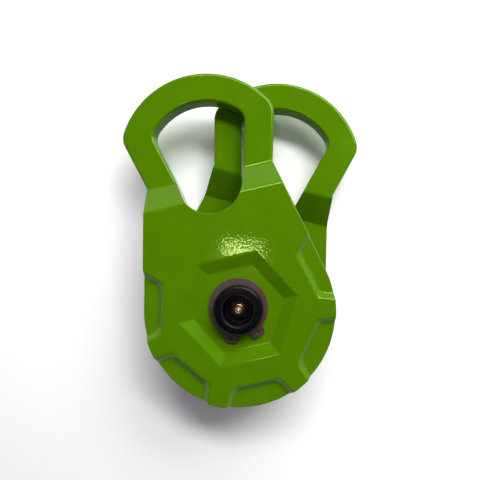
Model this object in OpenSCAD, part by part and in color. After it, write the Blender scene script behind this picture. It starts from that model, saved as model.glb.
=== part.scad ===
// Snatch block with two swing-open side plates, lying on its rear plate.
// The pin axis is +Z and the origin is the centre of the sheave.
// Each plate is drawn along its own +Y, from the pin towards its shackle eye.

/* [Side plates] */
// Radius of the round end of each side plate
plate_r = 67.5; // [66:0.5:75]
// How far the round end's centre lies beyond the pin, away from the eye
end_shift = 2.2; // [0:0.1:4]
// Thickness of each side plate beside the sheave
plate_t = 12.5; // [11:0.5:15]
// Taper of the plate's sides towards the neck, in degrees from the plate's axis
side_taper = 13.4; // [12:0.1:18]
// Pin axis to the bend where the outer face starts to drop
low_bend = 79.5; // [78:0.5:84]
// Pin axis to the bend where the shackle eye starts
high_bend = 98; // [95:0.5:101]
// Width of the neck at the upper bend
neck_w = 94; // [90:0.5:100]

/* [Shackle eye] */
// Pin axis to the top of the eye
eye_top = 173.4; // [165:0.1:185]
// Thickness of the bar around the eye
eye_t = 14; // [12:0.5:15]
// Gap between the two eyes when the plates are closed
eye_gap = 1; // [0.6:0.1:2]
// Radius of the arc over the eye
eye_arc_r = 64; // [60:0.5:68]
// Radius of the eye's outer shoulders
eye_shoulder_r = 14; // [10:0.5:18]
// Outward lean of the eye's two legs, in degrees from the plate's axis
eye_lean = 14.6; // [12:0.2:17]
// Width of the bar over the eye
bar_w = 20.6; // [15:0.1:24]
// Width of the eye's two legs
leg_w = 21.4; // [15:0.1:24]
// Radius of the arc under the bar
hole_arc_r = 44.5; // [41:0.5:48]
// Radius of the hole's upper corners
hole_corner_r = 10; // [6:0.5:12]
// Pin axis to the bottom of the hole
hole_bottom = 68.8; // [67:0.1:72]

/* [Pocket and notches] */
// Corner radius of the hexagonal pocket at the plate's face
pocket_r = 42.2; // [39:0.2:44]
// Corner radius of the hexagonal pocket at its floor
pocket_floor_r = 32.4; // [30:0.2:35]
// Depth of the hexagonal pocket
pocket_d = 4; // [3:0.1:5]
// Number of notches round the plate's edge
notch_count = 5; // [3:2:5]
// Angle between neighbouring notches, in degrees
notch_pitch = 51.8; // [50:0.2:54]
// Pin axis to a notch's inner edge
notch_reach = 52.5; // [49:0.5:56]
// Length of a notch's inner edge
notch_w = 34.4; // [30:0.2:37]
// Flare of a notch's sides, in degrees from the radius
notch_flare = 32; // [25:1:38]
// Depth of the notches
notch_d = 4; // [3:0.1:5]
// Width of the sloping wall round a notch, seen from above
notch_slope_w = 4; // [2:0.1:5]

/* [Sheave] */
// Outer radius of the sheave
sheave_r = 59; // [56:0.5:61]
// Width of the sheave over its hub and rims
sheave_w = 27; // [26:0.5:30]
// Radius of the groove's tread, where the rope lies
tread_r = 46; // [44:0.5:47]
// Largest rope that the groove takes, across
rope_d = 14; // [10:0.5:14]
// Extra width of the groove over the rope
rope_clear = 0.8; // [0.4:0.1:1.2]
// Flare of the groove's walls, in degrees from the radius
groove_flare = 22; // [18:1:25]
// Radius of the hub's flat face
hub_r = 31; // [30:0.5:33]
// Depth of the turned recess in each side of the web
web_recess_d = 3; // [1:0.5:4]
// Chamfer on the sheave's two outer corners
rim_chamfer = 1; // [0.5:0.1:1.5]

/* [Pin] */
// Diameter of the pin's shank
pin_d = 34.5; // [32:0.5:36]
// Diameter of the pin's flat head
head_d = 46; // [44:0.5:50]
// Thickness of the pin's head
head_t = 3.4; // [2.4:0.1:3.6]
// Rounding of the head's rim
head_edge_r = 0.8; // [0.4:0.1:1.2]
// How far the pin's front end stands above the front plate's face
pin_stand = 7; // [4:0.5:9]
// Rounding of the pin's front edge
pin_edge_r = 2.5; // [1:0.1:3]
// Diameter of the recess round the grease nipple
recess_d = 20.6; // [19:0.2:23]
// Depth of the recess round the grease nipple
recess_depth = 12; // [11.5:0.5:13]
// Chamfer at the recess's mouth
recess_chamfer = 1.4; // [0.5:0.1:2]
// Diameter of the grease drillings
gallery_d = 4; // [3:0.5:5]

/* [Bearing] */
// Wall of the bronze bush in the sheave
bush_wall = 3.5; // [2.5:0.5:4.5]
// Depth of the grease ring inside the bush
grease_ring_d = 1; // [0.5:0.1:1.5]
// Width of the grease ring inside the bush
grease_ring_w = 6; // [4.5:0.5:8]
// Outer diameter of the thrust washers
washer_d = 60; // [50:0.5:60]
// Thickness of the thrust washers
washer_t = 1.5; // [1:0.1:2.5]

/* [Retaining ring] */
// Thickness of the retaining ring
ring_t = 2; // [1.5:0.1:2.2]
// Depth of its groove in the pin
ring_groove_d = 1; // [0.7:0.1:1.5]
// Radius of the ring's outer edge
ring_r = 20.6; // [20:0.1:22]
// How far the outer edge's centre lies from the pin's axis, away from the gap
ring_offset = 1.3; // [0.8:0.1:1.6]
// Angle between the ring's two ears, in degrees
ring_gap = 24; // [18:1:28]
// Pin axis to the centre of an ear's tool hole
ear_hole_reach = 20.8; // [20:0.1:21]
// Diameter of the tool holes
ear_hole_d = 2.6; // [2:0.1:3]
// Rounding of an ear's corners
ear_r = 3.4; // [3:0.1:3.6]
// Distance between an ear's two rounded corners
ear_w = 3.6; // [2:0.1:5]

/* [Grease nipple] */
// Width across the flats of the nipple's hexagon
hex_af = 10; // [9:0.5:11]
// Height of the hexagon
hex_h = 4.5; // [3.5:0.1:5]
// Diameter of the nipple's thread
thread_d = 9.7; // [8:0.1:10]
// Length of the nipple's thread
thread_l = 7; // [6:0.5:8]
// Diameter of the head that the grease coupler grips
nipple_head_d = 6.6; // [6.4:0.1:6.8]
// Height of the neck and head above the hexagon
nipple_head_h = 6; // [5.5:0.1:6.5]
// Depth of the neck that the coupler's jaws close behind
neck_depth = 0.8; // [0.5:0.1:1]
// Height of the straight band round the head
head_band_h = 1.4; // [1:0.1:1.6]
// Height from the hexagon to the head's band
neck_h = 2.5; // [2:0.1:3]
// Width of the flat ring round the hole in the head
head_tip_w = 0.8; // [0.5:0.1:1]
// Thickness of the lip over the ball
lip_t = 0.5; // [0.3:0.1:0.7]
// Thickness of the seat under the spring
seat_t = 0.6; // [0.4:0.1:1]
// Width of the seat under the spring
seat_w = 0.7; // [0.5:0.1:0.9]
// Diameter of the check ball
ball_d = 3; // [2.8:0.1:3.2]
// Diameter of the hole over the ball
orifice_d = 2.3; // [2:0.1:2.4]
// Diameter of the spring's wire
wire_d = 0.4; // [0.3:0.05:0.5]
// Number of turns in the spring
spring_turns = 8; // [6:1:9]
// Gap between the ball and the chamber's wall, which lets the grease past
grease_gap = 0.4; // [0.3:0.05:0.5]
// Gap between the spring and the chamber's wall
spring_clear = 0.15; // [0.1:0.05:0.2]

/* [Clearances] */
// Gap on each side of a thrust washer
washer_clear = 0.25; // [0.2:0.05:0.4]
// Gap between the pin and the bush, all round
running_clear = 0.06; // [0.02:0.01:0.1]
// Gap between the pin and the front plate's bore, all round
swing_clear = 0.1; // [0.05:0.01:0.2]
// Gap between the pin and the thrust washers, all round
washer_bore_clear = 0.3; // [0.2:0.05:0.5]
// Gap between the pin's head or the retaining ring and the pocket's floor
end_clear = 0.2; // [0.1:0.05:0.4]
// Gap between each flat of the retaining ring and its groove
ring_clear = 0.1; // [0.05:0.05:0.2]
// Gap between the check ball and what holds it
ball_clear = 0.02; // [0.01:0.01:0.05]

/* [Pose] */
// Swing of the front plate from +Y, in degrees anticlockwise
front_swing = 12.9; // [0:0.1:90]
// Swing of the rear plate from +Y, in degrees clockwise
rear_swing = 14.6; // [0:0.1:90]
// Direction of the retaining ring's gap, in degrees from -Y
ring_turn = 13; // [-180:1:180]
// Turn of the nipple's hexagon, in degrees
hex_turn = 24; // [0:1:60]

/* [Hidden] */
$fn = 96;

// How far a cutting tool runs past the face that it opens
over = 1;
// How far a rounding stands proud of the edges that it joins, so that they cross cleanly
blend = 0.02;

// Heights above the middle of the sheave
hub_z = sheave_w / 2;
washer_z = hub_z + washer_clear;
inner_z = washer_z + washer_t + washer_clear;
face_z = inner_z + plate_t;
pocket_z = face_z - pocket_d;
eye_inner_z = eye_gap / 2;
eye_face_z = eye_inner_z + eye_t;
ring_z = pocket_z + end_clear;
pin_top_z = face_z + pin_stand;
recess_z = pin_top_z - recess_depth;
pin_r = pin_d / 2;
bush_r = pin_r + running_clear + bush_wall;
ring_groove_r = pin_r - ring_groove_d;

// Slope between the two bends, and where the inner face bends to keep the plate's thickness
bend_angle = atan2(face_z - eye_face_z, high_bend - low_bend);
inner_low_bend = low_bend - plate_t * tan(bend_angle / 2);
inner_high_bend = inner_low_bend + (inner_z - eye_inner_z) / tan(bend_angle);

// The legs' outer edge is the line where x cos(lean) - y sin(lean) is leg_line
leg_line = neck_w / 2 * cos(eye_lean) - high_bend * sin(eye_lean);
hole_line = leg_line - leg_w;
// The arc at the hole's bottom touches both legs
hole_foot_y = (hole_bottom + hole_line) / (1 - sin(eye_lean));
hole_foot_r = hole_foot_y - hole_bottom;

// Nipple heights
hex_top_z = recess_z + hex_h;
nipple_top_z = hex_top_z + nipple_head_h;
thread_end_z = recess_z - thread_l;
lip_z = nipple_top_z - lip_t;
ball_r = ball_d / 2;
ball_z = lip_z - sqrt(pow(ball_r + ball_clear, 2) - pow(orifice_d / 2, 2));
chamber_r = ball_r + grease_gap;
spring_low_z = thread_end_z + seat_t + ball_clear;
spring_high_z = ball_z - ball_r - ball_clear;

// A point at distance d along the normal of a leg's edge, and s up along the edge
function on_leg(d, s, side) =
    [side * (d * cos(eye_lean) + s * sin(eye_lean)), s * cos(eye_lean) - d * sin(eye_lean)];

// How far up the leg the corner circle lies that touches both the leg and the arc
function corner_s(line, arc_y, arc_r, r) =
    arc_y * cos(eye_lean)
    + sqrt(pow(arc_r - r, 2) - pow(line - r + arc_y * sin(eye_lean), 2));

// Region under an arc and between two leaning sides, with rounded corners
module eye_shape(line, top, arc_r, corner_r, foot_y) {
    arc_y = top - arc_r;
    s = corner_s(line, arc_y, arc_r, corner_r);
    corner = on_leg(line - corner_r, s, 1);
    touch = on_leg(line, s, 1);
    sweep = atan2(corner.x, corner.y - arc_y);
    far = 2 * arc_r;
    foot_x = (line + foot_y * sin(eye_lean)) / cos(eye_lean);
    intersection() {
        translate([0, arc_y])
            circle(arc_r);
        translate([0, arc_y])
            polygon([[0, 0], [far * sin(sweep), far * cos(sweep)],
                     [far * sin(sweep), far], [-far * sin(sweep), far],
                     [-far * sin(sweep), far * cos(sweep)]]);
    }
    for (side = [-1, 1])
        translate([side * corner.x, corner.y])
            circle(corner_r + blend);
    polygon([[foot_x, foot_y], touch, corner, [0, arc_y + arc_r / 2],
             [-corner.x, corner.y], [-touch.x, touch.y], [-foot_x, foot_y]]);
}

// Outline of a side plate, seen along the pin
module plate_outline() {
    side_r = plate_r - blend;
    side_x = (side_r - (low_bend + end_shift) * sin(side_taper)) / cos(side_taper);
    side_foot = [side_r * cos(side_taper), side_r * sin(side_taper) - end_shift];
    difference() {
        union() {
            translate([0, -end_shift])
                circle(plate_r);
            polygon([side_foot, [side_x, low_bend], [neck_w / 2, high_bend],
                     [-neck_w / 2, high_bend], [-side_x, low_bend],
                     [-side_foot.x, side_foot.y]]);
            eye_shape(leg_line, eye_top, eye_arc_r, eye_shoulder_r, high_bend);
        }
        eye_hole();
    }
}

// The shackle hole, a wedge with a round foot
module eye_hole() {
    touch_y = hole_foot_y - hole_foot_r * sin(eye_lean);
    eye_shape(hole_line, eye_top - bar_w, hole_arc_r, hole_corner_r, touch_y);
    translate([0, hole_foot_y])
        circle(hole_foot_r + blend);
}

// Side view of a bent plate: x here is the plate's +Y, y is height
module plate_profile() {
    low = -plate_r - end_shift - over;
    high = eye_top + over;
    polygon([[low, inner_z], [inner_low_bend, inner_z],
             [inner_high_bend, eye_inner_z], [high, eye_inner_z],
             [high, eye_face_z], [high_bend, eye_face_z],
             [low_bend, face_z], [low, face_z]]);
}

// Everything above a floor and beyond a sloping wall, with the wall's top edge along y
module beyond_wall(slope_w, depth, reach) {
    rise = slope_w / depth * over;
    rotate([90, 0, 0])
        linear_extrude(height = 2 * reach, center = true)
            polygon([[-rise, over], [slope_w, -depth], [reach, -depth], [reach, over]]);
}

// Six-sided pocket with sloping walls, one flat towards the eye
module hex_pocket() {
    half_face = pocket_r * cos(30);
    half_floor = pocket_floor_r * cos(30);
    rise = (half_face - half_floor) / pocket_d * over;
    translate([0, 0, face_z])
        intersection_for(turn = [30, 90, 150])
            rotate([90, 0, turn])
                linear_extrude(height = 3 * pocket_r, center = true)
                    polygon([[-half_face - rise, over], [-half_floor, -pocket_d],
                             [half_floor, -pocket_d], [half_face + rise, over]]);
}

// The space on the open side of a notch's flared end wall
module notch_end(side) {
    translate([0, side * notch_w / 2, 0])
        rotate([0, 0, -side * (90 - notch_flare)])
            beyond_wall(notch_slope_w, notch_d, plate_r);
}

// One notch in the plate's rim, at an angle from the foot of the plate
module rim_notch(angle) {
    rotate([0, 0, angle - 90])
        translate([notch_reach, 0, face_z])
            intersection() {
                beyond_wall(notch_slope_w, notch_d, plate_r);
                notch_end(-1);
                notch_end(1);
            }
}

// A side plate over the sheave's front; its eye lies just above the middle
module side_plate(bore_r) {
    color([0.33, 0.53, 0.01])
        difference() {
            intersection() {
                linear_extrude(height = face_z)
                    plate_outline();
                rotate([90, 0, 90])
                    linear_extrude(height = 4 * plate_r, center = true)
                        plate_profile();
            }
            hex_pocket();
            for (i = [0 : notch_count - 1])
                rim_notch((i - (notch_count - 1) / 2) * notch_pitch);
            cylinder(r = bore_r, h = face_z + over);
        }
}

module front_side_plate() {
    rotate([0, 0, front_swing])
        side_plate(pin_r + swing_clear);
}

// The same forging turned over, held tight on the pin
module rear_side_plate() {
    rotate([0, 0, -rear_swing])
        mirror([0, 0, 1])
            side_plate(pin_r);
}

// Half section of the sheave: x is the radius, y the height
module sheave_section() {
    groove_r = (rope_d + rope_clear) / 2;
    groove_x = tread_r + groove_r;
    touch_x = groove_x - (groove_r - blend) * sin(groove_flare);
    touch_y = (groove_r - blend) * cos(groove_flare);
    mouth_y = touch_y + (sheave_r + over - touch_x) * tan(groove_flare);
    web_out = tread_r - web_recess_d;
    difference() {
        translate([bush_r, -hub_z])
            square([sheave_r - bush_r, sheave_w]);
        translate([groove_x, 0])
            circle(groove_r);
        polygon([[touch_x, -touch_y], [sheave_r + over, -mouth_y],
                 [sheave_r + over, mouth_y], [touch_x, touch_y]]);
        for (side = [-1, 1])
            polygon([[hub_r - over, side * (hub_z + over)],
                     [hub_r + web_recess_d, side * (hub_z - web_recess_d)],
                     [web_out, side * (hub_z - web_recess_d)],
                     [web_out + web_recess_d + over, side * (hub_z + over)]]);
        for (side = [-1, 1])
            polygon([[sheave_r - rim_chamfer - over, side * (hub_z + over)],
                     [sheave_r + over, side * (hub_z + over)],
                     [sheave_r + over, side * (hub_z - rim_chamfer - over)]]);
    }
}

module sheave() {
    color([0.24, 0.25, 0.26])
        rotate_extrude()
            sheave_section();
}

// Bronze bush pressed into the sheave, with a ring that spreads the grease
module sheave_bush() {
    bore_r = pin_r + running_clear;
    color([0.72, 0.53, 0.28])
        rotate_extrude()
            difference() {
                translate([bore_r, -hub_z])
                    square([bush_wall, sheave_w]);
                translate([bore_r - over, -grease_ring_w / 2])
                    square([over + grease_ring_d, grease_ring_w]);
            }
}

// Thrust washer between the sheave's hub and a plate, on side 1 or -1
module thrust_washer(side) {
    color([0.72, 0.53, 0.28])
        translate([0, 0, side > 0 ? washer_z : -washer_z - washer_t])
            difference() {
                cylinder(d = washer_d, h = washer_t);
                translate([0, 0, -over])
                    cylinder(r = pin_r + washer_bore_clear, h = washer_t + 2 * over);
            }
}

// Outline of the pin turned about its axis, without its drillings
module pin_section() {
    head_z = -pocket_z - end_clear;
    difference() {
        union() {
            translate([0, head_z - head_t])
                square([head_d / 2 - head_edge_r, head_t]);
            translate([0, head_z - head_t + head_edge_r])
                square([head_d / 2, head_t - head_edge_r]);
            translate([head_d / 2 - head_edge_r, head_z - head_t + head_edge_r])
                circle(head_edge_r);
            translate([0, head_z - over / 2])
                square([pin_r, pin_top_z - pin_edge_r - head_z + over / 2]);
            square([pin_r - pin_edge_r, pin_top_z]);
            translate([pin_r - pin_edge_r, pin_top_z - pin_edge_r])
                circle(pin_edge_r);
        }
        translate([ring_groove_r, ring_z - ring_clear])
            square([pin_r, ring_t + 2 * ring_clear]);
        translate([0, recess_z])
            square([recess_d / 2, recess_depth + over]);
        polygon([[0, pin_top_z - recess_chamfer], [recess_d / 2, pin_top_z - recess_chamfer],
                 [recess_d / 2 + recess_chamfer + over, pin_top_z + over], [0, pin_top_z + over]]);
    }
}

// Headed pin with the recess for the nipple and the drillings for grease
module center_pin() {
    color([0.05, 0.05, 0.055])
        difference() {
            rotate_extrude()
                pin_section();
            translate([0, 0, thread_end_z])
                cylinder(d = thread_d, h = thread_l + over);
            translate([0, 0, -gallery_d / 2])
                cylinder(d = gallery_d, h = thread_end_z + gallery_d / 2 + over);
            rotate([0, 90, 0])
                cylinder(d = gallery_d, h = 3 * pin_r, center = true);
        }
}

// One ear of the ring, centred on -Y: a bar with rounded corners
module ring_ear() {
    for (side = [-1, 1])
        translate([side * ear_w / 2, -ear_hole_reach])
            circle(ear_r);
    translate([-ear_w / 2, -ear_hole_reach - ear_r])
        square([ear_w, ear_r + ear_hole_reach - ring_groove_r]);
    translate([-ear_w / 2 - ear_r, -ear_hole_reach])
        square([ear_w + 2 * ear_r, ear_hole_reach - ring_groove_r]);
}

// Flat retaining ring with two eared ends, drawn with its gap towards -Y
module ring_outline() {
    ear_angle = ring_gap / 2 + asin((ear_w / 2 + ear_r) / ear_hole_reach);
    gap_x = 2 * ring_r * tan(ring_gap / 2);
    difference() {
        union() {
            translate([0, ring_offset])
                circle(ring_r);
            for (side = [-1, 1])
                rotate([0, 0, side * ear_angle])
                    ring_ear();
        }
        circle(ring_groove_r);
        polygon([[0, 0], [gap_x, -2 * ring_r], [-gap_x, -2 * ring_r]]);
        for (side = [-1, 1])
            rotate([0, 0, side * ear_angle])
                translate([0, -ear_hole_reach])
                    circle(d = ear_hole_d);
    }
}

module retaining_ring() {
    color([0.30, 0.24, 0.22])
        translate([0, 0, ring_z])
            rotate([0, 0, ring_turn])
                linear_extrude(height = ring_t)
                    ring_outline();
}

// Grease nipple: thread, hexagon, neck and head, bored for its ball and spring
module nipple_body() {
    head_r = nipple_head_d / 2;
    neck_r = head_r - neck_depth;
    band_z = hex_top_z + neck_h;
    tip_r = orifice_d / 2 + head_tip_w;
    color([0.78, 0.56, 0.25])
        difference() {
            union() {
                translate([0, 0, thread_end_z])
                    cylinder(d = thread_d, h = thread_l);
                translate([0, 0, recess_z])
                    rotate([0, 0, hex_turn])
                        cylinder(d = hex_af / cos(30), h = hex_h, $fn = 6);
                rotate_extrude()
                    polygon([[0, hex_top_z - over], [head_r + over, hex_top_z - over],
                             [neck_r, hex_top_z + neck_depth],
                             [neck_r, band_z - neck_depth], [head_r, band_z],
                             [head_r, band_z + head_band_h], [tip_r, nipple_top_z],
                             [0, nipple_top_z]]);
            }
            translate([0, 0, thread_end_z + seat_t])
                cylinder(r = chamber_r, h = lip_z - thread_end_z - seat_t);
            translate([0, 0, thread_end_z - over])
                cylinder(r = chamber_r - seat_w, h = seat_t + 2 * over);
            translate([0, 0, lip_z - over])
                cylinder(d = orifice_d, h = lip_t + 2 * over);
        }
}

// Check ball, held up against the lip of the nipple's hole
module nipple_ball() {
    color([0.80, 0.80, 0.82])
        translate([0, 0, ball_z])
            sphere(ball_r);
}

// Wire swept along a helix by rings of points
module coil(radius, wire_r, height, turns) {
    sides = 6;
    steps = turns * 14;
    rings = [for (i = [0 : steps])
        let (a = 360 * turns * i / steps)
        [for (k = [0 : sides - 1])
            let (b = 360 * k / sides)
            [(radius + wire_r * cos(b)) * cos(a), (radius + wire_r * cos(b)) * sin(a),
             height * i / steps + wire_r * sin(b)]]];
    points = [for (ring = rings) each ring];
    walls = [for (i = [0 : steps - 1], k = [0 : sides - 1])
        let (next = (k + 1) % sides)
        [i * sides + k, (i + 1) * sides + k, (i + 1) * sides + next, i * sides + next]];
    first = [for (k = [0 : sides - 1]) k];
    last = [for (k = [sides - 1 : -1 : 0]) steps * sides + k];
    polyhedron(points, concat(walls, [first], [last]), convexity = 4);
}

// Spring that presses the ball against the lip
module nipple_spring() {
    wire_r = wire_d / 2;
    color([0.75, 0.75, 0.78])
        translate([0, 0, spring_low_z + wire_r])
            coil(chamber_r - wire_r - spring_clear, wire_r,
                 spring_high_z - spring_low_z - wire_d, spring_turns);
}

front_side_plate();
rear_side_plate();
sheave();
sheave_bush();
thrust_washer(1);  // front_thrust_washer
thrust_washer(-1);  // rear_thrust_washer
center_pin();
retaining_ring();
nipple_body();
nipple_ball();
nipple_spring();
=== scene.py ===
"""Snatch block lying on its rear side plate, seen from above on a white floor."""

from math import cos, radians, sin

import bmesh
import bpy
from mathutils import Matrix, Vector


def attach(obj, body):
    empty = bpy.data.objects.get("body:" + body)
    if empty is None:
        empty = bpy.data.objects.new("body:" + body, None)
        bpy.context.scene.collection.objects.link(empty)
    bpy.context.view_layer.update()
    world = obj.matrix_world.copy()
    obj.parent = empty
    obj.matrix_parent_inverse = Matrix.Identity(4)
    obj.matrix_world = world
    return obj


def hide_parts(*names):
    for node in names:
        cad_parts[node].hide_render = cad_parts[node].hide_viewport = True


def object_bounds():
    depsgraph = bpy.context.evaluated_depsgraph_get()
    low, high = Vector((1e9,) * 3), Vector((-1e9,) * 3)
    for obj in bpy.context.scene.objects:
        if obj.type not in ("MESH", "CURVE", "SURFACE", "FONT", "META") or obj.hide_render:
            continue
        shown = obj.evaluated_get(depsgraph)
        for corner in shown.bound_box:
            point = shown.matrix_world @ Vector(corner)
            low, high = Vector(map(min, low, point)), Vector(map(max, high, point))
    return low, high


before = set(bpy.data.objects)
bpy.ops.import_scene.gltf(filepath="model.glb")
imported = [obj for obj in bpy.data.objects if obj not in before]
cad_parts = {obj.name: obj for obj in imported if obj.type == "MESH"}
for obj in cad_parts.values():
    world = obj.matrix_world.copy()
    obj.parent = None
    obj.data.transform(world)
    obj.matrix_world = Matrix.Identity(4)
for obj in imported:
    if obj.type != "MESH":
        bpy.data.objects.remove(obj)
cad_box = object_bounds()
bpy.context.scene.view_settings.view_transform = "Standard"

MM = 0.001
FLOOR_Z = cad_box[0].z

# The photograph's frame and where the camera stood
IMAGE_PX = 480
PX_PER_MM = 1.31
CAMERA_HEIGHT = 300 * MM
AXIS_PX = (264.5, 256.0)
PIN_PX = (241.0, 304.5)
SENSOR_MM = 36
CLIP_START = 10 * MM

# How far each side plate is swung, in degrees anticlockwise from +Y
SWING = {"front_side_plate": 12.9, "rear_side_plate": -14.6}

# A forging's heights over the sheave's middle plane
BODY_FACE = 28.0 * MM
POCKET_FLOOR = 24.0 * MM
EYE_FACE = 14.5 * MM
# Where its bends, its neck and the corners of its rim notches lie, from the pin outwards
BENDS = (70 * MM, 105 * MM)
NECK = (66 * MM, 98 * MM)
NOTCH_CORNERS = (49 * MM, 61 * MM)
EYE_CENTRE = 108.5 * MM
# The middle of the eye's bar, from the eye's centre, and of its legs, which lean by so many degrees
EYE_BAR_MIDDLE = 54 * MM
LEG_MIDDLE = 10 * MM
LEG_LEAN = 14.6

# How widely a forging's edges are rounded
OUTER_LOW_BEND = 1.3 * MM
INNER_LOW_BEND = 0.6 * MM
HIGH_BEND = 1.5 * MM
NECK_EDGE = 0.55 * MM
NOTCH_CORNER = 3.0 * MM
EYE_OUTSIDE = 2.4 * MM
EYE_INSIDE = 1.8 * MM
STEEP_EDGE = 1.2 * MM
OTHER_EDGE = 0.9 * MM
WIDEST = NOTCH_CORNER
FORGING_SEGMENTS = 4
SMALL_SEGMENTS = 2

# The turns of an edge by which its kind is told, and how near counts as level
LEAST_TURN = radians(10)
NECK_TURN = radians(40)
BEND_TURN = radians(50)
STEEP_TURN = radians(60)
CORNER_HEIGHT = 3 * MM
NEARLY = 0.1 * MM

# An edge that turns more than this is rounded or shown sharp
SHARP_TURN = radians(28)
# Doubles and flat faces of a CAD mesh are joined within these
MERGE_WITHIN = 0.02 * MM
FLAT_WITHIN = radians(0.6)
# Only the pin's front end, beyond this, is rounded: its drillings and its head keep plain edges
PIN_PLAIN = 20 * MM

# How white the floor is as it lights the block, and as it is seen and mirrored
FLOOR_LIT = 0.8
FLOOR_SEEN = 1.25
FLOOR_HALF = 3.0
# The floor's shade ends between these distances from the pin: beyond them it is plain white
SHADE_ENDS = (0.28, 0.45)
# The light of the room and of its dim ceiling in mirrors; both angles are degrees over the floor
ROOM_LIGHT = 0.12
CEILING_MIRRORED = 0.02
WALLS_END = 18
CEILING_STARTS = 28

WHITE = (1, 1, 1, 1)

# Most of a noise lies between these
NOISE_RANGE = (0.3, 0.7)
# How wide a nib in the powder is, as a share of the gap between nibs
NIB_WIDTH = 0.09
# How much closer a lathe's rings lie along the axis than across it
RINGS_ALONG = 1.3
# From left to right across the ring, its phosphate turns from brown to purple between these
RING_TONES = (-14 * MM, 18 * MM)


def make_camera():
    """A camera that looks straight down, with its lens shifted a little off its axis."""
    data = bpy.data.cameras.new("camera")
    data.sensor_width = SENSOR_MM
    data.lens = PX_PER_MM * CAMERA_HEIGHT / MM / IMAGE_PX * SENSOR_MM
    data.shift_x = (IMAGE_PX / 2 - AXIS_PX[0]) / IMAGE_PX
    data.shift_y = (AXIS_PX[1] - IMAGE_PX / 2) / IMAGE_PX
    data.clip_start = CLIP_START
    camera = bpy.data.objects.new("camera", data)
    camera.location = (
        (AXIS_PX[0] - PIN_PX[0]) / PX_PER_MM * MM,
        (PIN_PX[1] - AXIS_PX[1]) / PX_PER_MM * MM,
        CAMERA_HEIGHT,
    )
    bpy.context.scene.collection.objects.link(camera)
    bpy.context.scene.camera = camera


class Nodes:
    """Short calls for building a node tree."""

    def __init__(self, tree):
        self.tree = tree

    def add(self, kind, inputs=None, **settings):
        node = self.tree.nodes.new(kind)
        for name, value in settings.items():
            setattr(node, name, value)
        for name, value in (inputs or {}).items():
            self.put(node.inputs[name], value)
        return node

    def put(self, socket, value):
        if isinstance(value, bpy.types.NodeSocket):
            self.tree.links.new(value, socket)
        else:
            socket.default_value = value

    def math(self, operation, a, b=0.0, clamp=False):
        node = self.add("ShaderNodeMath", operation=operation, use_clamp=clamp)
        self.put(node.inputs[0], a)
        self.put(node.inputs[1], b)
        return node.outputs[0]

    def mix(self, factor, a, b):
        node = self.add("ShaderNodeMix", data_type="RGBA")
        self.put(node.inputs["Factor"], factor)
        self.put(node.inputs[6], a)
        self.put(node.inputs[7], b)
        return node.outputs[2]

    def ramp(self, value, low, high, to_low=0.0, to_high=1.0):
        """A value that runs from to_low to to_high as the input runs from low to high."""
        node = self.add("ShaderNodeMapRange", {
            "Value": value, "From Min": low, "From Max": high,
            "To Min": to_low, "To Max": to_high})
        return node.outputs["Result"]

    def place(self):
        """Where a point lies on its piece, in metres from the sheave's centre."""
        return self.add("ShaderNodeTexCoord").outputs["Object"]

    def split(self, vector):
        """The X, Y and Z of a vector."""
        return self.add("ShaderNodeSeparateXYZ", {"Vector": vector}).outputs

    def rays(self):
        """The kinds of ray, and those that mirror or pass through as a kind of their own."""
        path = self.add("ShaderNodeLightPath").outputs
        return path, self.math("MAXIMUM", path["Is Glossy Ray"], path["Is Transmission Ray"])


def new_group(name, inputs, output):
    """An empty shader node group with named number sockets."""
    group = bpy.data.node_groups.new(name, "ShaderNodeTree")
    for label, value in inputs.items():
        socket = group.interface.new_socket(label, in_out="INPUT", socket_type="NodeSocketFloat")
        socket.default_value = value
    group.interface.new_socket(output, in_out="OUTPUT", socket_type="NodeSocketFloat")
    n = Nodes(group)
    return group, n, n.add("NodeGroupInput").outputs, n.add("NodeGroupOutput").inputs[output]


def noise_of_size(n, place, size_mm, detail, roughness=0.5):
    """Noise whose lumps are about size_mm across."""
    return n.add("ShaderNodeTexNoise", {
        "Vector": place, "Scale": n.math("DIVIDE", 1 / MM, size_mm),
        "Detail": detail, "Roughness": roughness}).outputs["Fac"]


def distance_to_dots(n, place, gap_mm):
    """Distance to the nearest of many dots, about gap_mm apart, as a share of that gap."""
    return n.add("ShaderNodeTexVoronoi", {
        "Vector": place, "Scale": n.math("DIVIDE", 1 / MM, gap_mm)}).outputs["Distance"]


def distance_to_axis(n, axes):
    """Distance from the pin's axis, in metres."""
    return n.math("SQRT", n.math("ADD", n.math("MULTIPLY", axes["X"], axes["X"]),
                                 n.math("MULTIPLY", axes["Y"], axes["Y"])))


def make_mottle_group():
    """Soft cloudy variation between Low and High; Size is in millimetres."""
    group, n, given, out = new_group(
        "mottle", {"Size": 10.0, "Low": 0.0, "High": 1.0, "Detail": 3.0}, "Value")
    cloud = noise_of_size(n, n.place(), given["Size"], given["Detail"], roughness=0.55)
    n.put(out, n.ramp(cloud, *NOISE_RANGE, given["Low"], given["High"]))
    return group


def make_peel_group():
    """Height of sprayed powder in metres: orange peel over the slow waves of a forging, with nibs."""
    group, n, given, out = new_group(
        "orange_peel",
        {"Peel Size": 1.5, "Peel Depth": 0.05, "Wave Size": 16.0, "Wave Depth": 0.08,
         "Nib Gap": 7.0, "Nib Height": 0.02},
        "Height")
    place = n.place()
    peel = noise_of_size(n, place, given["Peel Size"], detail=1.5)
    wave = noise_of_size(n, place, given["Wave Size"], detail=1.0)
    nibs = n.ramp(distance_to_dots(n, place, given["Nib Gap"]), NIB_WIDTH, 0.0)
    skin = n.math("ADD", n.math("MULTIPLY", wave, given["Wave Depth"]),
                  n.math("MULTIPLY", peel, given["Peel Depth"]))
    height = n.math("ADD", skin, n.math("MULTIPLY", nibs, given["Nib Height"]))
    n.put(out, n.math("MULTIPLY", height, MM))
    return group


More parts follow.
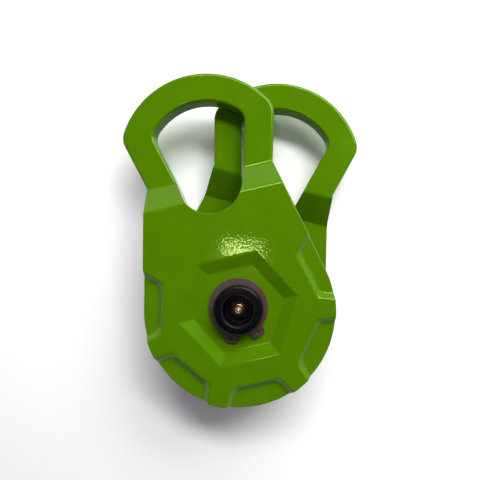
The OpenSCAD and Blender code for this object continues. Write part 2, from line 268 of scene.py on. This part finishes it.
def make_turned_group():
    """Fine rings left by a lathe round the pin's axis, with a grain, as a height in metres."""
    group, n, given, out = new_group(
        "turned_rings", {"Pitch": 0.3, "Depth": 0.005, "Grain": 0.004}, "Height")
    place = n.place()
    axes = n.split(place)
    along = n.math("ADD", distance_to_axis(n, axes), n.math("MULTIPLY", axes["Z"], RINGS_ALONG))
    line = n.add("ShaderNodeCombineXYZ", {
        "X": n.math("DIVIDE", along, n.math("MULTIPLY", given["Pitch"], MM))})
    rings = n.add("ShaderNodeTexNoise", {
        "Vector": line.outputs[0], "Scale": 1.0, "Detail": 2.0}).outputs["Fac"]
    grain = noise_of_size(n, place, size_mm=0.4, detail=3.0)
    height = n.math("ADD", n.math("MULTIPLY", rings, given["Depth"]),
                    n.math("MULTIPLY", grain, given["Grain"]))
    n.put(out, n.math("MULTIPLY", height, MM))
    return group


def make_band_group():
    """A mask that is 1 between two radii round the pin's axis, in millimetres."""
    group, n, given, out = new_group(
        "radius_band", {"Inner": 30.0, "Outer": 40.0, "Blur": 0.4}, "Mask")
    radius = n.math("DIVIDE", distance_to_axis(n, n.split(n.place())), MM)
    within = n.math("DIVIDE", n.math("SUBTRACT", radius, given["Inner"]), given["Blur"], clamp=True)
    beyond = n.math("DIVIDE", n.math("SUBTRACT", given["Outer"], radius), given["Blur"], clamp=True)
    n.put(out, n.math("MULTIPLY", within, beyond))
    return group


def make_speck_group():
    """A mask of round specks, full within half their width; Gap is in millimetres."""
    group, n, given, out = new_group("specks", {"Gap": 3.0, "Width": 0.12}, "Mask")
    spread = distance_to_dots(n, n.place(), given["Gap"])
    n.put(out, n.ramp(spread, given["Width"], n.math("MULTIPLY", given["Width"], 0.5)))
    return group


MOTTLE = make_mottle_group()
PEEL = make_peel_group()
TURNED = make_turned_group()
BAND = make_band_group()
SPECKS = make_speck_group()


def new_material(name, **constants):
    """A material with its Principled shader, and constants on the shader's own sockets."""
    material = bpy.data.materials.new(name)
    material.use_nodes = True
    shader = material.node_tree.nodes["Principled BSDF"]
    for label, value in constants.items():
        shader.inputs[label.replace("_", " ")].default_value = value
    return material, Nodes(material.node_tree), shader


def use_group(n, group, **values):
    """The output of a node group that is placed with its own values."""
    node = n.add("ShaderNodeGroup", node_tree=group)
    for label, value in values.items():
        n.put(node.inputs[label.replace("_", " ")], value)
    return node.outputs[0]


def blend(n, factor, a, b):
    """A colour between two plain colours."""
    return n.mix(factor, (*a, 1), (*b, 1))


def set_bump(n, shader, height):
    bump = n.add("ShaderNodeBump", {"Strength": 1.0, "Distance": 1.0, "Height": height})
    n.put(shader.inputs["Normal"], bump.outputs["Normal"])


def make_green_coat():
    """Glossy green powder coat over forged steel, whose gloss is green too, with nibs whose tips are
    painted paler green as a painted sparkle.
    """
    material, n, shader = new_material("green_powder_coat", IOR=1.48,
                                       Specular_Tint=(0.6, 1.0, 0.2, 1))
    clouds = use_group(n, MOTTLE, Size=22.0)
    colour = blend(n, clouds, (0.082, 0.204, 0.0006), (0.090, 0.222, 0.0008))
    # The nibs are real bumps; the paler green on their tips is a painted highlight, a painted sparkle
    # where they would catch the lamps.
    nibs = n.math("MULTIPLY", use_group(n, SPECKS, Gap=7.0, Width=0.03), 0.35)
    n.put(shader.inputs["Base Color"], n.mix(nibs, colour, (0.15, 0.34, 0.03, 1)))
    n.put(shader.inputs["Roughness"], use_group(n, MOTTLE, Size=3.0, Low=0.05, High=0.075))
    set_bump(n, shader, use_group(n, PEEL))
    return material


def make_metal(name, dark, light, rough, metallic, pitch, depth, grain, cloud=4.0, ior=1.5):
    """A turned metal: lathe rings in its height, and a mottled colour and roughness."""
    material, n, shader = new_material(name, Metallic=metallic, IOR=ior)
    clouds = use_group(n, MOTTLE, Size=cloud, Detail=5.0)
    n.put(shader.inputs["Base Color"], blend(n, clouds, dark, light))
    n.put(shader.inputs["Roughness"], use_group(n, MOTTLE, Size=1.2, Low=rough[0], High=rough[1]))
    set_bump(n, shader, use_group(n, TURNED, Pitch=pitch, Depth=depth, Grain=grain))
    return material


def make_phosphate():
    """Phosphate that goes from olive brown on the left to purple on the right, with dark grains."""
    material, n, shader = new_material("phosphate", Metallic=0.45)
    grain = use_group(n, MOTTLE, Size=0.9, Detail=5.0)
    brown = blend(n, grain, (0.042, 0.036, 0.026), (0.120, 0.102, 0.074))
    purple = blend(n, grain, (0.070, 0.030, 0.036), (0.150, 0.062, 0.072))
    clouds = use_group(n, MOTTLE, Size=7.0, Low=-0.2, High=0.2, Detail=2.0)
    sideways = n.ramp(n.split(n.place())["X"], *RING_TONES)
    colour = n.mix(n.math("ADD", sideways, clouds, clamp=True), brown, purple)
    dark = n.math("MULTIPLY", use_group(n, SPECKS, Gap=1.1, Width=0.2), 0.5)
    n.put(shader.inputs["Base Color"], n.mix(dark, colour, (0.02, 0.016, 0.014, 1)))
    n.put(shader.inputs["Roughness"], n.ramp(grain, 0.0, 1.0, 0.34, 0.52))
    set_bump(n, shader, use_group(n, TURNED, Pitch=0.5, Depth=0.0, Grain=0.02))
    return material


def make_brass():
    """Brass whose hexagon is bright and smooth, and whose head is dulled by grease couplers and
    painted paler as a painted highlight of its lit head.
    """
    material, n, shader = new_material("nipple_brass", Metallic=1.0)
    head = use_group(n, BAND, Inner=-1.0, Outer=3.5)
    clouds = use_group(n, MOTTLE, Size=1.5, Detail=5.0)
    bright = blend(n, clouds, (0.40, 0.21, 0.07), (0.55, 0.31, 0.11))
    # The head's paler brass is a painted highlight of its lit head; only its extra roughness is the
    # dulling.
    dulled_and_painted_lit = blend(n, clouds, (0.48, 0.31, 0.14), (0.62, 0.44, 0.23))
    n.put(shader.inputs["Base Color"], n.mix(head, bright, dulled_and_painted_lit))
    smooth = use_group(n, MOTTLE, Size=1.2, Low=0.07, High=0.11)
    n.put(shader.inputs["Roughness"], n.math("ADD", smooth, n.math("MULTIPLY", head, 0.32)))
    set_bump(n, shader, use_group(n, TURNED, Pitch=0.12, Depth=0.002, Grain=0.0005))
    return material


def make_iron():
    """Blackened iron: turned bright bands beside a sandy cast skin in the web's recess."""
    material, n, shader = new_material("sheave_iron", Metallic=0.8)
    cast = use_group(n, BAND, Inner=33.0, Outer=44.5)
    clouds = use_group(n, MOTTLE, Size=6.0, Detail=5.0)
    sand = use_group(n, MOTTLE, Size=0.8)
    turned = blend(n, clouds, (0.034, 0.035, 0.037), (0.070, 0.071, 0.073))
    skin = blend(n, sand, (0.016, 0.015, 0.014), (0.040, 0.038, 0.036))
    n.put(shader.inputs["Base Color"], n.mix(cast, turned, skin))
    smooth = use_group(n, MOTTLE, Size=1.2, Low=0.24, High=0.36)
    n.put(shader.inputs["Roughness"], n.math("ADD", smooth, n.math("MULTIPLY", cast, 0.3)))
    rings = use_group(n, TURNED, Pitch=0.35, Depth=0.012, Grain=0.006)
    sandy = n.math("MULTIPLY", n.math("MULTIPLY", sand, cast), 0.09 * MM)
    set_bump(n, shader, n.math("ADD", rings, sandy))
    return material


GREEN = make_green_coat()
BLACK = make_metal("black_oxide", (0.002, 0.002, 0.0025), (0.004, 0.004, 0.005),
                   rough=(0.19, 0.26), metallic=0.0, pitch=0.25, depth=0.002, grain=0.001, ior=1.25)
PHOSPHATE = make_phosphate()
BRASS = make_brass()
BRONZE = make_metal("bearing_bronze", (0.30, 0.17, 0.06), (0.56, 0.35, 0.15),
                    rough=(0.22, 0.36), metallic=1.0, pitch=0.2, depth=0.006, grain=0.004, cloud=9.0)
IRON = make_iron()
STEEL = make_metal("bright_steel", (0.62, 0.62, 0.64), (0.74, 0.74, 0.75),
                   rough=(0.08, 0.14), metallic=1.0, pitch=0.1, depth=0.001, grain=0.001, cloud=0.8)


def merged_copy(node_name):
    """A bmesh of a CAD node, with its doubles merged and its flat faces joined."""
    bm = bmesh.new()
    bm.from_mesh(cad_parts[node_name].data)
    bmesh.ops.remove_doubles(bm, verts=bm.verts, dist=MERGE_WITHIN)
    bmesh.ops.dissolve_limit(bm, angle_limit=FLAT_WITHIN, verts=bm.verts, edges=bm.edges,
                             use_dissolve_boundaries=False, delimit=set())
    return bm


def weigh_edges(bm, width_of, widest):
    """Gives each edge the share of the widest rounding that width_of asks for it."""
    weight = bm.edges.layers.float.new("bevel_weight_edge")
    for edge in bm.edges:
        edge[weight] = width_of(edge) / widest
        edge.smooth = edge[weight] > 0 or edge.calc_face_angle() < SHARP_TURN


def finish_piece(bm, name, material, body, node_name, widest, segments):
    """An object whose weighted edges are rounded, with flat faces kept flat by their normals."""
    mesh = bpy.data.meshes.new(name)
    bm.to_mesh(mesh)
    bm.free()
    # The CAD mesh's own normals would hide the rounding
    mesh.attributes.remove(mesh.attributes["custom_normal"])
    mesh.polygons.foreach_set("use_smooth", [True] * len(mesh.polygons))
    mesh.materials.append(material)
    piece = bpy.data.objects.new(name, mesh)
    bpy.context.scene.collection.objects.link(piece)
    bevel = piece.modifiers.new("rounding", "BEVEL")
    bevel.limit_method = "WEIGHT"
    bevel.width = widest
    bevel.segments = segments
    # A clamp would narrow every edge to what the tightest corner allows
    bevel.use_clamp_overlap = False
    normals = piece.modifiers.new("normals", "WEIGHTED_NORMAL")
    normals.keep_sharp = True
    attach(piece, body)
    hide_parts(node_name)


def side_plate_rounding(swing):
    """How widely a forging's edge is rounded: by its bends, neck, notches, eye and rim."""
    along = Vector((-sin(radians(swing)), cos(radians(swing)), 0))
    across = Vector((along.y, -along.x, 0))
    lean = radians(LEG_LEAN)

    def width(edge):
        a, b = (v.co for v in edge.verts)
        middle = (a + b) / 2
        turn = edge.calc_face_angle()
        low, high = sorted((abs(a.z), abs(b.z)))
        up, aside = middle.dot(along), middle.dot(across)
        if turn < LEAST_TURN:
            return 0
        lies_across = abs((a - b).dot(along)) < NEARLY
        if lies_across and BENDS[0] < up < BENDS[1] and turn < BEND_TURN:
            if high > BODY_FACE - MM:
                return OUTER_LOW_BEND
            return INNER_LOW_BEND if high > EYE_FACE + NEARLY else HIGH_BEND
        if NECK[0] < up < NECK[1] and turn > NECK_TURN:
            return NECK_EDGE
        stands = high - low > CORNER_HEIGHT and low > POCKET_FLOOR - NEARLY
        if stands and NOTCH_CORNERS[0] < middle.xy.length < NOTCH_CORNERS[1]:
            return NOTCH_CORNER
        if high < EYE_FACE + NEARLY:
            beside_leg = abs(aside) * cos(lean) - up * sin(lean) > LEG_MIDDLE
            round_bar = Vector((aside, up - EYE_CENTRE)).length > EYE_BAR_MIDDLE
            return EYE_OUTSIDE if beside_leg or round_bar else EYE_INSIDE
        return STEEP_EDGE if turn > STEEP_TURN else OTHER_EDGE

    return width


def make_side_plate(node_name, piece_name, body):
    """A forging with each kind of edge rounded in its own way."""
    bm = merged_copy(node_name)
    weigh_edges(bm, side_plate_rounding(SWING[node_name]), WIDEST)
    finish_piece(bm, piece_name, GREEN, body, node_name, WIDEST, FORGING_SEGMENTS)


def make_small_piece(node_name, piece_name, material, body, rounding, above=None):
    """A piece whose sharp edges are all eased, or only those above a height."""
    def width(edge):
        middle = (edge.verts[0].co + edge.verts[1].co) / 2
        picked = edge.calc_face_angle() > SHARP_TURN and (above is None or middle.z > above)
        return rounding if picked else 0

    bm = merged_copy(node_name)
    weigh_edges(bm, width, rounding)
    finish_piece(bm, piece_name, material, body, node_name, rounding, SMALL_SEGMENTS)


def paint_node(node_name, material):
    """Gives a CAD node that is shown as it is its own finish."""
    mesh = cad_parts[node_name].data
    mesh.materials.clear()
    mesh.materials.append(material)


def make_floor_white():
    """White that keeps the block's shadow near it and is plain white further out."""
    material = bpy.data.materials.new("floor_white")
    material.use_nodes = True
    tree = material.node_tree
    tree.nodes.remove(tree.nodes["Principled BSDF"])
    n = Nodes(tree)
    path, mirrored = n.rays()
    seen = n.math("MAXIMUM", path["Is Camera Ray"], mirrored)
    shaded = n.add("ShaderNodeBsdfDiffuse", {
        "Color": blend(n, seen, [FLOOR_LIT] * 3, [FLOOR_SEEN] * 3)})
    reach = n.add("ShaderNodeVectorMath", {"Vector": n.place()}, operation="LENGTH").outputs["Value"]
    white = n.add("ShaderNodeEmission", {"Color": WHITE, "Strength": 1.0})
    mixed = n.add("ShaderNodeMixShader", {
        "Fac": n.math("MULTIPLY", n.ramp(reach, *SHADE_ENDS), seen)})
    n.put(mixed.inputs[1], shaded.outputs[0])
    n.put(mixed.inputs[2], white.outputs[0])
    n.put(tree.nodes["Material Output"].inputs["Surface"], mixed.outputs[0])
    return material


def make_floor():
    """A wide flat floor under the block."""
    bm = bmesh.new()
    bmesh.ops.create_grid(bm, x_segments=1, y_segments=1, size=FLOOR_HALF,
                          matrix=Matrix.Translation((0, 0, FLOOR_Z)))
    mesh = bpy.data.meshes.new("floor")
    bm.to_mesh(mesh)
    bm.free()
    mesh.materials.append(make_floor_white())
    floor = bpy.data.objects.new("floor", mesh)
    bpy.context.scene.collection.objects.link(floor)


def make_world():
    """White walls, which the block mirrors too, and above them a ceiling that it mirrors dimly."""
    world = bpy.data.worlds.new("studio")
    bpy.context.scene.world = world
    world.use_nodes = True
    n = Nodes(world.node_tree)
    background = world.node_tree.nodes["Background"]
    path, mirrored = n.rays()
    up = n.split(n.add("ShaderNodeTexCoord").outputs["Generated"])["Z"]
    walls = n.ramp(up, sin(radians(CEILING_STARTS)), sin(radians(WALLS_END)))
    white = n.math("MAXIMUM", path["Is Camera Ray"], n.math("MULTIPLY", mirrored, walls))
    room = n.math("ADD", n.math("MULTIPLY", path["Is Glossy Ray"], CEILING_MIRRORED),
                  n.math("MULTIPLY", path["Is Diffuse Ray"], ROOM_LIGHT))
    n.put(background.inputs["Strength"], n.math("MAXIMUM", white, room))
    n.put(background.inputs["Color"], WHITE)


def add_lamp(name, direction, elevation, distance, size, power, aim=(0, 0.04, 0), colour=(1, 1, 1)):
    """A softbox that points at aim; its direction is in degrees anticlockwise from +X."""
    data = bpy.data.lights.new(name, "AREA")
    data.shape = "RECTANGLE"
    data.size, data.size_y = size
    data.energy = power
    data.color = colour
    lamp = bpy.data.objects.new(name, data)
    a, e = radians(direction), radians(elevation)
    away = Vector((cos(a) * cos(e), sin(a) * cos(e), sin(e)))
    lamp.location = Vector(aim) + away * distance
    lamp.rotation_mode = "QUATERNION"
    lamp.rotation_quaternion = away.to_track_quat("Z", "Y")
    bpy.context.scene.collection.objects.link(lamp)


make_camera()
make_floor()
make_world()
add_lamp("key", direction=72, elevation=53, distance=1.2, size=(1.1, 0.24), power=12.0,
         aim=(0, 0.06, 0))
add_lamp("low_key", direction=56, elevation=33, distance=1.2, size=(1.0, 0.36), power=7.2)
add_lamp("green_window", direction=30, elevation=58, distance=0.8, size=(0.34, 0.24), power=0.26,
         colour=(0.4, 1.0, 0.3))
add_lamp("top_spot", direction=172, elevation=87, distance=0.6, size=(0.012, 0.08), power=0.24,
         aim=(0, 0.043, 0.028), colour=(0.85, 0.6, 1.0))

make_side_plate("front_side_plate", "front_plate_forging", "front_plate")
make_side_plate("rear_side_plate", "rear_plate_forging", "rear_frame")
make_small_piece("sheave", "grooved_wheel", IRON, "sheave_wheel", 0.6 * MM)
make_small_piece("sheave_bush", "bronze_sleeve", BRONZE, "sheave_wheel", 0.3 * MM)
make_small_piece("front_thrust_washer", "front_washer_disc", BRONZE, "front_washer",
                 0.25 * MM)
make_small_piece("rear_thrust_washer", "rear_washer_disc", BRONZE, "rear_washer",
                 0.25 * MM)
make_small_piece("center_pin", "black_pin", BLACK, "rear_frame", 0.35 * MM,
                 above=PIN_PLAIN)
make_small_piece("retaining_ring", "eared_ring", PHOSPHATE, "rear_frame",
                 0.3 * MM)
make_small_piece("nipple_body", "brass_nipple", BRASS, "rear_frame", 0.15 * MM)
for shown_as_it_is in ("nipple_ball", "nipple_spring"):
    paint_node(shown_as_it_is, STEEL)
